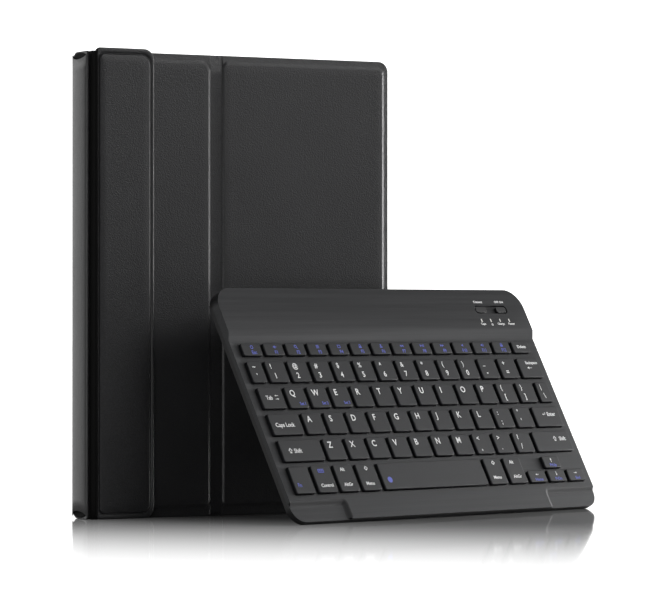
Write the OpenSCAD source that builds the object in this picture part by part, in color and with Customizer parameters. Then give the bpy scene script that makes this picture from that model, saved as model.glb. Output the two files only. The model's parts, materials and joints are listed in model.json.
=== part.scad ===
// Tablet folio case with a stand fold, a closure flap and a detachable keyboard.
// The closed folio stands upright on its short edge. The keyboard leans against it.
// +X runs along the folio's width, +Y from the folio's face to its back, +Z up.

/* [Folio] */
// Width of the closed folio
folio_w = 187; // [180:1:200]
// Height of the upright folio
folio_h = 253; // [248:1:275]
// Width of the stand leg panel, from the spine side to its fold
leg_w = 77; // [70:1:85]
// Radius of the folio's free corners
corner_r = 6; // [3:0.5:9]
// Height of the padded board above its leather border
boss_h = 1; // [0.5:0.1:1.2]
// Leather border round each padded board
border_w = 4; // [3:0.5:6]

/* [Closure flap] */
// Width of the closure flap
flap_w = 35.5; // [30:0.5:37]
// Height of the closure flap
flap_h = 254.8; // [250:0.1:256]

/* [Tablet tray] */
// Width of the tablet's bay
bay_w = 170.4; // [165:0.1:172]
// Height of the tablet's bay
bay_h = 241; // [235:0.5:242]
// Depth of the tablet's bay
bay_t = 7; // [6.5:0.1:7.2]
// Thickness of the tray's walls
tray_wall = 1.6; // [1.2:0.1:2]

/* [Keyboard] */
// Width of the keyboard
kb_w = 247; // [245:0.5:249]
// Depth of the keyboard, from its front edge to its back edge
kb_d = 138; // [137:0.5:142]
// Thickness of the keyboard at its deck
kb_t = 5; // [5:0.1:5.6]
// Height of the bar behind the keys, above the deck
bar_h = 2.4; // [2:0.1:3]
// Radius of the back corners
kb_back_r = 12; // [8:1:14]
// Radius of the front corners
kb_front_r = 9; // [6:1:12]
// Lean of the keyboard from upright, in degrees
kb_lean = 28.5; // [27:0.5:30]
// Turn of the keyboard about the vertical, in degrees
kb_turn = 16.25; // [14:0.25:18]

/* [Keys] */
// Width of a letter key's cap
cap_w = 14.1; // [13.5:0.1:14.3]
// Length of a letter key's cap
cap_d = 12.6; // [12:0.1:12.9]
// Distance between letter keys
key_pitch = 17.05; // [17:0.01:17.1]
// Distance between rows
row_pitch = 15.7; // [15.5:0.05:15.8]
// Height of a cap above the deck
cap_up = 1.8; // [1.5:0.1:2]
// Clearance round a cap in its opening
cap_gap = 0.3; // [0.25:0.05:0.4]

/* [Hidden] */
$fn = 48;

// Folio thicknesses, counted from the front face at y = 0 towards the back.
skin_y = 0.4;             // face of the leather border
panel_inner_y = 2.4;      // inner face of the boards
lining_t = 0.6;
sheet_t = 0.4;            // base sheet behind the stand leg
leg_room = 0.3;           // clearance between the leg's lining and the base sheet
sheet_y = panel_inner_y + lining_t / 2 + leg_room;
tray_y = sheet_y + sheet_t;
tray_floor = 1;
lip_t = 0.4;
lip_in = 0.9;
tray_back_y = tray_y + tray_floor + bay_t + lip_t;
keyboard_space = 7.4;
cover_y = tray_back_y + keyboard_space;
cover_t = 2.6;
folio_t = cover_y + cover_t;
fold_half = 3;            // half the width of the thin leather at a fold
fold_gap = 0.3;           // clearance from a fold's axis to the leather's end
fold_y = 2;               // depth of the stand fold's axis
fold_skin = 0.8;
board_in = border_w + 0.9;
skin_t = 0.9;
leg_x = 0.6;
flap_x = 2;
flap_clear = 0.3;
flap_back_y = skin_y - boss_h - flap_clear;
flap_t = 1.7;
flap_boss = 0.7;
cover_x = 3.2;
spine_x = -0.4;
spine_t = 1.2;
spine_y = [0.8, cover_y - 0.5];
spine_bar_y = [3.5, 16.2];
spine_bulge = 1.6;
spine_end = 5;            // distance from the leather's end to the bar's end
magnet_t = 1.2;
magnet_r = 5;
tray_x = (folio_w - bay_w) / 2 - tray_wall;
tray_z = (folio_h - bay_h) / 2 - tray_wall;
tray_w = bay_w + 2 * tray_wall;
tray_h = bay_h + 2 * tray_wall;

// Keyboard levels, counted from the back face of its base.
base_t = 2.4;
base_floor = 0.9;
case_wall = 1.4;
deck_skin = 0.9;
bar_top = kb_t + bar_h;
bar_v = 111.5;            // where the bar's flat top begins
slope_v = 107.2;          // where the slope meets the deck
rest_v = 12;              // length of the corner recesses
rest_w = 43;              // width of the corner recesses
rest_deep = 1.5;
hollow_v = 13.5;          // the case is solid in front of this
slot_u = [204, 231.5];
slot_v = 125;
slot_w = 5.2;
slot_floor = kb_t + 0.4;
slot_floor_t = 0.4;
lamp_u = 206;
lamp_step = 7.9;
lamp_v = 118;
lamp_size = [0.9, 2];
lamp_count = 4;
cap_top = kb_t + cap_up;
cap_t = 2.5;
press = 1.5;              // travel of a key
cap_r = 1;
plate_v = [hollow_v + 0.5, 106];
plate_t = 0.3;
plate_u = [3, kb_w - 3];
dome_r = 2.2;
dome_top = cap_top - cap_t - press - 0.1;
frame_size = [9.4, 5.6];
frame_t = 0.8;
frame_edge = 1;
port_u = 214;
port_size = [7.6, 6, 2.6];
port_n = 3.4;
port_shell = 0.4;
board_u = [150, 241];
board_v = [112, 132];
screw_at = [[60, 6.5], [187, 6.5], [16, 130], [128, 133], [238, 116]];
foot_at = [[22, 20], [225, 20], [22, 122], [225, 122]];
foot_r = 4;
foot_in = 0.3;            // how deep a foot sits in the base
kb_magnet_u = [85, kb_w / 2, kb_w - 85];
battery = [[28, 113.4], [86, 19, 3.6]];

// Key lists: each key is [u, v, width, length], from the keyboard's front left corner.
key_u = 5.7;              // left edge of the key field
key_end = 240.9;          // right edge of the key field
number_v = 93.7 - cap_d;
upper_v = number_v - row_pitch;
home_v = upper_v - row_pitch;
lower_v = home_v - row_pitch;
bottom_v = 15.1;
bottom_d = lower_v - 3 - bottom_v;
function_v = 97.3;
function_d = 7.3;
function_pitch = 16.8;
function_keys = [for (i = [0 : 13]) [key_u + i * function_pitch, function_v, cap_w, function_d]];
number_u = 18.5;
number_keys = concat(
  [[5.2, number_v, number_u - 2.9 - 5.2, cap_d]],
  [for (i = [0 : 11]) [number_u + i * key_pitch, number_v, cap_w, cap_d]]
);
backspace_u = number_u + 12 * key_pitch;
upper_u = 25.8;
upper_keys = concat(
  [for (i = [0 : 11]) [upper_u + i * key_pitch, upper_v, cap_w, cap_d]],
  [[upper_u + 12 * key_pitch, upper_v, key_end - upper_u - 12 * key_pitch, cap_d]]
);
home_u = 31.4;
home_keys = [for (i = [0 : 10]) [home_u + i * key_pitch, home_v, cap_w, cap_d]];
enter_u = home_u + 11 * key_pitch;
lower_u = 39.8;
lower_keys = [for (i = [0 : 9]) [lower_u + i * key_pitch, lower_v, cap_w, cap_d]];
shift_u = lower_u + 10 * key_pitch;
modifier_u = 6.1;
modifier_left = [for (i = [0 : 3]) [modifier_u + i * key_pitch, bottom_v, cap_w, bottom_d]];
space_u = modifier_u + 4 * key_pitch;
arrow_w = 13.8;
arrow_pitch = 16.7;
arrow_u = key_end - arrow_w - 2 * arrow_pitch;
arrow_d = 7.3;
modifier_right = [
  for (i = [2, 1]) [arrow_u - i * arrow_pitch, bottom_v, arrow_w, bottom_d]
];
space_w = modifier_right[0][0] - 2.9 - space_u;
function escape_key() = [function_keys[0]];
function delete_key() = [function_keys[13]];
function function_row() = [for (i = [1 : 12]) function_keys[i]];
backspace_key = [[backspace_u, number_v, key_end - backspace_u, cap_d]];
tab_key = [[key_u, upper_v, upper_u - 2.9 - key_u, cap_d]];
caps_key = [[key_u, home_v, home_u - 2.9 - key_u, cap_d]];
enter_key = [[enter_u, home_v, key_end - enter_u, cap_d]];
shift_left_key = [[key_u + 0.3, lower_v, lower_u - 2.9 - key_u - 0.3, cap_d]];
shift_right_key = [[shift_u, lower_v, key_end - shift_u, cap_d]];
space_key = [[space_u, bottom_v, space_w, bottom_d]];
arrow_left_key = [[arrow_u, bottom_v, arrow_w, arrow_d]];
arrow_down_key = [[arrow_u + arrow_pitch, bottom_v, arrow_w, arrow_d]];
arrow_right_key = [[arrow_u + 2 * arrow_pitch, bottom_v, arrow_w, arrow_d]];
arrow_up_key = [[arrow_u + arrow_pitch, bottom_v + bottom_d - arrow_d, arrow_w, arrow_d]];
all_keys = concat(
  function_keys, number_keys, backspace_key, tab_key, upper_keys, caps_key, home_keys, enter_key,
  shift_left_key, lower_keys, shift_right_key, modifier_left, space_key, modifier_right,
  arrow_left_key, arrow_up_key, arrow_down_key, arrow_right_key
);

// Where the keyboard stands: the foot of its back face, left end, in the folio's coordinates.
kb_x = 65.8;
kb_y = -104.2;

// The part's origin is the middle of its footprint box.
kb_tip_x = kb_x + (kb_w - kb_front_r) * cos(kb_turn) - kb_front_r * sin(kb_lean) * sin(kb_turn)
  + kb_front_r * sqrt(pow(cos(kb_turn), 2) + pow(sin(kb_lean) * sin(kb_turn), 2))
  + kb_t * cos(kb_lean) * sin(kb_turn);
kb_near_y = kb_y + kb_front_r * (sin(kb_turn) + sin(kb_lean) * cos(kb_turn))
  - kb_front_r * sqrt(pow(sin(kb_turn), 2) + pow(sin(kb_lean) * cos(kb_turn), 2))
  - (kb_t - rest_deep / 2) * cos(kb_lean) * cos(kb_turn);
kb_far_y = kb_y + (kb_w - kb_back_r) * sin(kb_turn)
  + (kb_d - kb_back_r) * sin(kb_lean) * cos(kb_turn)
  + kb_back_r * sqrt(pow(sin(kb_turn), 2) + pow(sin(kb_lean) * cos(kb_turn), 2));
folio_left_x = spine_x - spine_t - spine_bulge;
centre = [(folio_left_x + kb_tip_x) / 2, (kb_near_y + kb_far_y) / 2];

leather_colour = [0.16, 0.16, 0.17];
board_colour = [0.55, 0.5, 0.42];
lining_colour = [0.22, 0.22, 0.24];
deck_colour = [0.3, 0.3, 0.32];
key_colour = [0.2, 0.2, 0.23];

module in_folio() {
  translate([-centre[0], -centre[1], 0]) children();
}

module on_keyboard() {
  in_folio()
    translate([kb_x, kb_y, 0])
    rotate([0, 0, kb_turn])
    rotate([90 - kb_lean, 0, 0])
    children();
}

// A rectangle with its own corner radius on the left and on the right.
module outline(w, h, left_r, right_r) {
  translate([left_r, 0]) square([w - left_r - right_r, h]);
  translate([0, left_r]) square([left_r, h - 2 * left_r]);
  translate([w - right_r, right_r]) square([right_r, h - 2 * right_r]);
  for (y = [left_r, h - left_r]) translate([left_r, y]) circle(left_r);
  for (y = [right_r, h - right_r]) translate([w - right_r, y]) circle(right_r);
}

module rounded(w, h, r) {
  translate([r, 0]) square([w - 2 * r, h]);
  translate([0, r]) square([w, h - 2 * r]);
  for (x = [r, w - r], y = [r, h - r]) translate([x, y]) circle(r);
}

// An upright plate: corners rounded in X and Z, thickness along +Y from y.
module upright(x, y, z, w, t, h, left_r, right_r) {
  translate([x, y + t, z]) rotate([90, 0, 0]) linear_extrude(t) outline(w, h, left_r, right_r);
}

// A disc whose axis runs along Y.
module disc(x, y, z, r, t) {
  translate([x, y + t, z]) rotate([90, 0, 0]) cylinder(h = t, r = r);
}

module discs(x, y, zs) {
  for (z = zs) disc(x, y, z, magnet_r, magnet_t);
}

// ---- Wide panel, with the tablet tray glued to it ----
wide_x = leg_w + fold_half;
wide_w = folio_w - wide_x;
stand_magnet_x = 170;
stand_magnet_z = [40, folio_h / 2, folio_h - 40];

module wide_panel_leather() {
  color(leather_colour) in_folio() difference() {
    union() {
      upright(wide_x, skin_y, 0, wide_w, panel_inner_y - skin_y, folio_h, 0.5, corner_r);
      upright(wide_x + 1, skin_y - boss_h, border_w + 2, wide_w - border_w - 1, boss_h,
        folio_h - 2 * border_w - 2, 2, corner_r - 2);
      translate([leg_w + fold_gap, panel_inner_y - fold_skin, 1])
        cube([fold_half, fold_skin, folio_h - 2]);
    }
    wide_board_shape();
  }
}

module wide_board_shape() {
  upright(wide_x + 2, skin_y - boss_h + skin_t, board_in + 2, wide_w - board_in - 2,
    panel_inner_y - skin_y + boss_h - skin_t, folio_h - 2 * board_in - 2, 2, corner_r - 3);
}

module wide_panel_board() {
  color(board_colour) in_folio() difference() {
    wide_board_shape();
    discs(stand_magnet_x, panel_inner_y - magnet_t, stand_magnet_z);
  }
}

// The lining, with the thin base sheet that runs on behind the stand leg to the spine.
module wide_panel_lining() {
  color(lining_colour) in_folio() {
    upright(leg_w + fold_gap, panel_inner_y, 1, folio_w - leg_w - fold_gap - 1,
      tray_y - panel_inner_y, folio_h - 2, 0.5, corner_r - 1);
    upright(leg_x, sheet_y, 1, leg_w - leg_x + 2, sheet_t, folio_h - 2, 1, 0.5);
  }
}

module stand_magnets() {
  color("silver") in_folio()
    discs(stand_magnet_x, panel_inner_y - magnet_t, stand_magnet_z);
}

notch_w = 18;
notch_z = 184;
notch_h = 34;

module tablet_tray() {
  color([0.13, 0.13, 0.14]) in_folio() difference() {
    upright(tray_x, tray_y, tray_z, tray_w, tray_back_y - tray_y, tray_h, 8, 8);
    upright(tray_x + tray_wall, tray_y + tray_floor, tray_z + tray_wall, bay_w, bay_t, bay_h,
      6.5, 6.5);
    upright(tray_x + tray_wall + lip_in, tray_y + tray_floor, tray_z + tray_wall + lip_in,
      bay_w - 2 * lip_in, bay_t + lip_t + 1, bay_h - 2 * lip_in, 5.6, 5.6);
    // Notch for a charging plug in the lower wall
    translate([folio_w / 2 - notch_w / 2, tray_y + tray_floor + 0.6, tray_z - 1])
      cube([notch_w, bay_t + 2, tray_wall + lip_in + 2]);
    // Notch for the tablet's side buttons in the free wall
    translate([tray_x + tray_w - tray_wall - lip_in - 1, tray_y + tray_floor + 0.6, notch_z])
      cube([tray_wall + lip_in + 2, bay_t + 2, notch_h]);
  }
}

// ---- Stand leg ----
leg_plate_w = leg_w - fold_half - leg_x;
leg_magnet_x = 22;
flap_magnet_z = [32, folio_h / 2, folio_h - 32];

module leg_board_shape() {
  upright(leg_x + board_in, skin_y - boss_h + skin_t, board_in + 2, leg_plate_w - board_in - 2,
    panel_inner_y - skin_y + boss_h - skin_t, folio_h - 2 * board_in - 2, 2, 2);
}

module leg_leather() {
  color(leather_colour) in_folio() difference() {
    union() {
      upright(leg_x, skin_y, 0, leg_plate_w, panel_inner_y - skin_y, folio_h, 2, 0.5);
      upright(leg_x + border_w, skin_y - boss_h, border_w + 2, leg_plate_w - border_w - 1,
        boss_h, folio_h - 2 * border_w - 2, 2, 4);
      translate([leg_w - fold_half - fold_gap, panel_inner_y - fold_skin, 1])
        cube([fold_half, fold_skin, folio_h - 2]);
    }
    leg_board_shape();
  }
}

module leg_board() {
  color(board_colour) in_folio() difference() {
    leg_board_shape();
    discs(leg_magnet_x, skin_y - boss_h + skin_t, flap_magnet_z);
  }
}

module leg_lining() {
  color(lining_colour) in_folio()
    upright(leg_x + 1, panel_inner_y, 1, leg_w - fold_gap - leg_x - 1, lining_t / 2,
      folio_h - 2, 1, 0.5);
}

module leg_magnets() {
  color("silver") in_folio()
    discs(leg_magnet_x, skin_y - boss_h + skin_t, flap_magnet_z);
}

// ---- Closure flap, lying on the stand leg ----
flap_face_y = flap_back_y - flap_t;

module flap_board_shape() {
  upright(flap_x + board_in, flap_face_y - flap_boss + skin_t, board_in,
    flap_w - 2 * board_in, flap_t + flap_boss - skin_t - lining_t / 2,
    flap_h - 2 * board_in, 1, corner_r - 3);
}

module flap_leather() {
  color(leather_colour) in_folio() difference() {
    union() {
      upright(flap_x, flap_face_y, 0, flap_w, flap_t - lining_t / 2, flap_h, 2, corner_r);
      upright(flap_x + border_w, flap_face_y - flap_boss, border_w, flap_w - 2 * border_w,
        flap_boss, flap_h - 2 * border_w, 1.5, corner_r - 2);
    }
    flap_board_shape();
  }
}

module flap_board() {
  color(board_colour) in_folio() difference() {
    flap_board_shape();
    discs(leg_magnet_x, flap_back_y - lining_t / 2 - magnet_t, flap_magnet_z);
  }
}

module flap_lining() {
  color(lining_colour) in_folio()
    upright(flap_x + 1, flap_back_y - lining_t / 2, 1, flap_w - 2, lining_t / 2, flap_h - 2,
      1.5, corner_r - 1);
}

module flap_magnets() {
  color("silver") in_folio()
    discs(leg_magnet_x, flap_back_y - lining_t / 2 - magnet_t, flap_magnet_z);
}

// ---- Spine strip along the folded edge ----
spine_mid_y = (spine_bar_y[0] + spine_bar_y[1]) / 2;
spine_half = (spine_bar_y[1] - spine_bar_y[0]) / 2;
spine_arc_r = (spine_half * spine_half + spine_bulge * spine_bulge) / (2 * spine_bulge);

// The bar's round outer side, grown inward by cut.
module spine_bar(z, h, cut) {
  intersection() {
    translate([spine_x - spine_t - spine_bulge + spine_arc_r, spine_mid_y, z])
      cylinder(h = h, r = spine_arc_r - cut, $fn = 96);
    translate([spine_x - spine_t - spine_bulge, spine_bar_y[0] + cut, z])
      cube([spine_bulge + 0.01, spine_half * 2 - 2 * cut, h]);
  }
}

module spine_board_shape() {
  translate([spine_x - spine_t, spine_bar_y[0] + skin_t, spine_end + skin_t])
    cube([spine_t - lining_t / 2, spine_half * 2 - 2 * skin_t,
      folio_h - 2 * spine_end - 2 * skin_t]);
}

module spine_leather() {
  color([0.36, 0.36, 0.37]) in_folio() difference() {
    union() {
      translate([spine_x - spine_t, spine_y[0], 0])
        cube([spine_t - lining_t / 2, spine_y[1] - spine_y[0], folio_h]);
      spine_bar(spine_end, folio_h - 2 * spine_end, 0);
    }
    spine_board_shape();
  }
}

module spine_board() {
  color(board_colour) in_folio() spine_board_shape();
}

module spine_lining() {
  color(lining_colour) in_folio()
    translate([spine_x - lining_t / 2, spine_y[0] + 0.5, 1])
    cube([lining_t / 2, spine_y[1] - spine_y[0] - 1, folio_h - 2]);
}

// ---- Far cover, which carries the keyboard when the folio is closed on it ----
cover_w = folio_w - cover_x;
cover_magnet_x = 60;
cover_magnet_z = [50, folio_h / 2, folio_h - 50];

module cover_board_shape() {
  upright(cover_x + board_in, cover_y + lining_t, board_in, cover_w - 2 * board_in,
    cover_t - lining_t - skin_t, folio_h - 2 * board_in, 2, corner_r - 3);
}

module cover_leather() {
  color(leather_colour) in_folio() difference() {
    upright(cover_x, cover_y + lining_t, 0, cover_w, cover_t - lining_t, folio_h, 2, corner_r);
    cover_board_shape();
  }
}

module cover_board() {
  color(board_colour) in_folio() difference() {
    cover_board_shape();
    cover_magnet_discs();
  }
}

module cover_magnet_discs() {
  for (z = cover_magnet_z) disc(cover_magnet_x, cover_y + lining_t, z, magnet_r, 1);
}

module cover_lining() {
  color(lining_colour) in_folio()
    upright(cover_x + 1, cover_y, 1, cover_w - 2, lining_t, folio_h - 2, 1.5, corner_r - 1);
}

module cover_magnets() {
  color("silver") in_folio() cover_magnet_discs();
}

// ---- Keyboard case ----
module kb_outline() {
  front = kb_front_r;
  back = kb_back_r;
  translate([front, 0]) square([kb_w - 2 * front, front]);
  translate([0, front]) square([kb_w, kb_d - front - back]);
  translate([back, kb_d - back]) square([kb_w - 2 * back, back]);
  for (u = [front, kb_w - front]) translate([u, front]) circle(front);
  for (u = [back, kb_w - back]) translate([u, kb_d - back]) circle(back);
}

// The inside of the case from v_start to the back wall.
module kb_hollow(v_start) {
  back = kb_back_r;
  translate([case_wall, v_start]) square([kb_w - 2 * case_wall, kb_d - back - v_start]);
  translate([back, v_start]) square([kb_w - 2 * back, kb_d - case_wall - v_start]);
  for (u = [back, kb_w - back]) translate([u, kb_d - back]) circle(back - case_wall);
}

module key_openings() {
  for (k = all_keys)
    translate([k[0] - cap_gap, k[1] - cap_gap])
    rounded(k[2] + 2 * cap_gap, k[3] + 2 * cap_gap, cap_r + cap_gap);
}

module slot_shape() {
  translate([slot_u[0], slot_v - slot_w / 2])
    rounded(slot_u[1] - slot_u[0], slot_w, slot_w / 2 - 0.1);
}

module bar_profile() {
  polygon([[slope_v, kb_t - 0.5], [slope_v, kb_t], [bar_v, bar_top], [kb_d, bar_top],
    [kb_d, kb_t - 0.5]]);
}

// A solid that runs the keyboard's whole width, from a profile in V and N.
module across() {
  rotate([90, 0, 90]) linear_extrude(kb_w) children();
}

module lamp_shapes(n, t) {
  for (i = [0 : lamp_count - 1])
    translate([lamp_u + i * lamp_step - lamp_size[0] / 2, lamp_v - lamp_size[1] / 2, n])
    cube([lamp_size[0], lamp_size[1], t]);
}

module port_cut(grow) {
  translate([port_u - port_size[0] / 2 - grow, kb_d - port_size[1], port_n - grow])
    cube([port_size[0] + 2 * grow, port_size[1] + 1, port_size[2] + 2 * grow]);
}

module corner_rests() {
  for (u = [-1, kb_w - rest_w])
    translate([u, -1, kb_t - rest_deep]) linear_extrude(rest_deep + 1)
    rounded(rest_w + 1, rest_v + 1, 3.5);
}

module screw_bores(r, n, t) {
  for (p = screw_at) translate([p[0], p[1], n]) cylinder(h = t, r = r);
}

screw_r = 0.8;
screw_head_r = 1.5;
screw_head_t = 0.6;
screw_top = 3.4;
boss_r = 2.2;

module keyboard_top() {
  color(deck_colour) on_keyboard() difference() {
    union() {
      difference() {
        union() {
          translate([0, 0, base_t]) linear_extrude(kb_t - base_t) kb_outline();
          intersection() {
            across() bar_profile();
            translate([0, 0, 0]) linear_extrude(bar_top) kb_outline();
          }
        }
        translate([0, 0, base_t - 1])
          linear_extrude(kb_t - deck_skin - base_t + 1) kb_hollow(hollow_v);
        translate([0, 0, base_t]) linear_extrude(bar_top - 1 - base_t) kb_hollow(bar_v + 1.5);
        translate([0, 0, base_t]) linear_extrude(kb_t) key_openings();
        corner_rests();
      }
      // Floor of the switch slot, hung from the bar's top
      translate([slot_u[0] - 1.5, slot_v - slot_w / 2 - 1.5, slot_floor])
        cube([slot_u[1] - slot_u[0] + 3, slot_w + 3, bar_top - 1 - slot_floor]);
      // Screw bosses
      screw_bores(boss_r, base_t, kb_t - deck_skin + 0.1 - base_t);
      for (p = screw_at)
        if (p[1] > bar_v)
          translate([p[0], p[1], base_t]) cylinder(h = bar_top - 0.9 - base_t, r = boss_r);
    }
    translate([0, 0, slot_floor + slot_floor_t]) linear_extrude(bar_h + 1) slot_shape();
    lamp_shapes(bar_top - 1.1, 2);
    port_cut(port_shell);
    screw_bores(screw_r, base_t - 1, screw_top - base_t + 1);
  }
}

module keyboard_base() {
  color([0.14, 0.14, 0.15]) on_keyboard() difference() {
    linear_extrude(base_t) kb_outline();
    translate([0, 0, base_floor]) linear_extrude(base_t) kb_hollow(hollow_v);
    screw_bores(screw_head_r, -1, 1 + screw_head_t);
    screw_bores(screw_r, -1, base_t + 2);
    for (p = foot_at) translate([p[0], p[1], -1]) cylinder(h = 1 + foot_in, r = foot_r);
    kb_magnet_discs(base_t);
  }
}

module rubber_feet() {
  color([0.1, 0.1, 0.1]) on_keyboard()
    for (p = foot_at) translate([p[0], p[1], foot_in - 1]) cylinder(h = 1, r = foot_r);
}

module case_screws() {
  color("silver") on_keyboard() {
    screw_bores(screw_head_r, 0.1, screw_head_t - 0.1);
    screw_bores(screw_r, 0.1, screw_top - 0.1);
  }
}

module kb_magnet_discs(t) {
  for (u = kb_magnet_u) translate([u, 7, base_floor]) cylinder(h = t, r = 4);
}

module keyboard_magnets() {
  color("silver") on_keyboard() kb_magnet_discs(magnet_t);
}

module support_plate() {
  color("lightsteelblue") on_keyboard()
    translate([plate_u[0], plate_v[0], base_floor])
    cube([plate_u[1] - plate_u[0], plate_v[1] - plate_v[0], plate_t]);
}

module membrane_sheet() {
  color("darkgreen") on_keyboard()
    translate([plate_u[0] + 0.5, plate_v[0] + 0.5, base_floor + plate_t])
    cube([plate_u[1] - plate_u[0] - 1, plate_v[1] - plate_v[0] - 1, plate_t]);
}

dome_n = base_floor + 2 * plate_t;
dome_sheet_t = 0.2;

module rubber_domes() {
  color([0.75, 0.75, 0.78]) on_keyboard() {
    translate([plate_u[0] + 1, plate_v[0] + 0.5, dome_n])
      cube([plate_u[1] - plate_u[0] - 2, plate_v[1] - plate_v[0] - 1, dome_sheet_t]);
    for (k = all_keys)
      translate([k[0] + k[2] / 2, k[1] + k[3] / 2, dome_n])
      cylinder(h = dome_top - dome_n, r = dome_r);
  }
}

module scissor_frames() {
  color([0.85, 0.85, 0.85]) on_keyboard()
    for (k = all_keys)
      translate([k[0] + k[2] / 2, k[1] + k[3] / 2, dome_n + dome_sheet_t])
      linear_extrude(frame_t)
      difference() {
        square([frame_size[0], frame_size[1]], center = true);
        square([frame_size[0] - 2 * frame_edge, frame_size[1] - frame_edge / 2], center = true);
      }
}

module circuit_board() {
  color("green") on_keyboard() difference() {
    translate([board_u[0], board_v[0], base_floor])
      cube([board_u[1] - board_u[0], board_v[1] - board_v[0], 1]);
    screw_bores(boss_r + 0.5, 0, base_t + 1);
  }
}

module battery_pack() {
  color([0.5, 0.5, 0.55]) on_keyboard()
    translate([battery[0][0], battery[0][1], base_floor]) cube(battery[1]);
}

module charging_port() {
  color("silver") on_keyboard() difference() {
    translate([port_u - port_size[0] / 2 - port_shell, kb_d - port_size[1], port_n - port_shell])
      cube([port_size[0] + 2 * port_shell, port_size[1] - 0.4, port_size[2] + 2 * port_shell]);
    translate([port_u - port_size[0] / 2, kb_d - port_size[1] + 1, port_n])
      cube([port_size[0], port_size[1], port_size[2]]);
  }
}

module indicator_windows() {
  color([0.9, 0.9, 0.85]) on_keyboard() lamp_shapes(bar_top - 1, 1);
}

module switch_body() {
  color([0.3, 0.3, 0.3]) on_keyboard()
    translate([slot_u[0], slot_v - 3, base_floor + 1])
    cube([slot_u[1] - slot_u[0], 6, slot_floor - base_floor - 1]);
}

knob_size = [8, 3.8, 1.4];

module power_switch() {
  color([0.12, 0.12, 0.13]) on_keyboard()
    translate([slot_u[1] - knob_size[0] - 1, slot_v - knob_size[1] / 2, slot_floor + 0.6])
    linear_extrude(knob_size[2]) rounded(knob_size[0], knob_size[1], 1.4);
}

module connect_button() {
  color([0.12, 0.12, 0.13]) on_keyboard()
    translate([slot_u[0] + 0.6, slot_v - knob_size[1] / 2, slot_floor + 1.1])
    linear_extrude(1) rounded(9, knob_size[1], 1.8);
}

// ---- Key caps ----
module caps(keys) {
  color(key_colour) on_keyboard()
    for (k = keys)
      translate([k[0], k[1], cap_top - cap_t]) linear_extrude(cap_t) rounded(k[2], k[3], cap_r);
}

module key_escape() { caps(escape_key()); }
module keys_function() { caps(function_row()); }
module key_delete() { caps(delete_key()); }
module keys_number() { caps(number_keys); }
module key_backspace() { caps(backspace_key); }
module key_tab() { caps(tab_key); }
module keys_upper() { caps(upper_keys); }
module key_caps_lock() { caps(caps_key); }
module keys_home() { caps(home_keys); }
module key_enter() { caps(enter_key); }
module key_shift_left() { caps(shift_left_key); }
module keys_lower() { caps(lower_keys); }
module key_shift_right() { caps(shift_right_key); }
module keys_modifier_left() { caps(modifier_left); }
module key_space() { caps(space_key); }
module keys_modifier_right() { caps(modifier_right); }
module key_arrow_left() { caps(arrow_left_key); }
module key_arrow_up() { caps(arrow_up_key); }
module key_arrow_down() { caps(arrow_down_key); }
module key_arrow_right() { caps(arrow_right_key); }

wide_panel_leather();
wide_panel_board();
wide_panel_lining();
tablet_tray();
stand_magnets();
leg_leather();
leg_board();
leg_lining();
leg_magnets();
flap_leather();
flap_board();
flap_lining();
flap_magnets();
spine_leather();
spine_board();
spine_lining();
cover_leather();
cover_board();
cover_lining();
cover_magnets();
keyboard_top();
keyboard_base();
rubber_feet();
case_screws();
keyboard_magnets();
support_plate();
membrane_sheet();
rubber_domes();
scissor_frames();
circuit_board();
battery_pack();
charging_port();
indicator_windows();
switch_body();
power_switch();
connect_button();
key_escape();
keys_function();
key_delete();
keys_number();
key_backspace();
key_tab();
keys_upper();
key_caps_lock();
keys_home();
key_enter();
key_shift_left();
keys_lower();
key_shift_right();
keys_modifier_left();
key_space();
keys_modifier_right();
key_arrow_left();
key_arrow_up();
key_arrow_down();
key_arrow_right();
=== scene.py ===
import json
import math

import bmesh
import bpy
import numpy as np
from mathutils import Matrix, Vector


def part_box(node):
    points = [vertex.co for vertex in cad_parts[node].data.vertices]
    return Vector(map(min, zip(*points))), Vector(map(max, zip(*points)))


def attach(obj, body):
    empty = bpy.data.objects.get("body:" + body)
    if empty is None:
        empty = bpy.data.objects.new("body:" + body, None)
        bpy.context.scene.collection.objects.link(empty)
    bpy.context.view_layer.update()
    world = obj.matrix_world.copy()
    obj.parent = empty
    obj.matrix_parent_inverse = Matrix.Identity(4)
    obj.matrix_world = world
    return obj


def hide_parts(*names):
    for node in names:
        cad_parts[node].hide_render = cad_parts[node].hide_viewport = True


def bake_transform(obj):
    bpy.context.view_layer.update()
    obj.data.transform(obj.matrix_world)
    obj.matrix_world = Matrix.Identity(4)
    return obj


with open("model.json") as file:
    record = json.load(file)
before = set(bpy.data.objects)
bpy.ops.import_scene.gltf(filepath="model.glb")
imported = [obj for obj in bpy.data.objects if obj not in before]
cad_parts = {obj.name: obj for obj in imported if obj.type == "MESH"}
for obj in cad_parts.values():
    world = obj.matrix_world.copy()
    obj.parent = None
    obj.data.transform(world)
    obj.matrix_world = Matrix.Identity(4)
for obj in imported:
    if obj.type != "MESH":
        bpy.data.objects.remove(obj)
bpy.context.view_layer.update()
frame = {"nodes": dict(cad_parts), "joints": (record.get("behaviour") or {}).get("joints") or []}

MM = 0.001
NODES = frame["nodes"]
JOINTS = {joint["name"]: joint for joint in frame["joints"]}
X, Y, Z = Vector((1, 0, 0)), Vector((0, 1, 0)), Vector((0, 0, 1))


# ---------------------------------------------------------------- shader building

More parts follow.
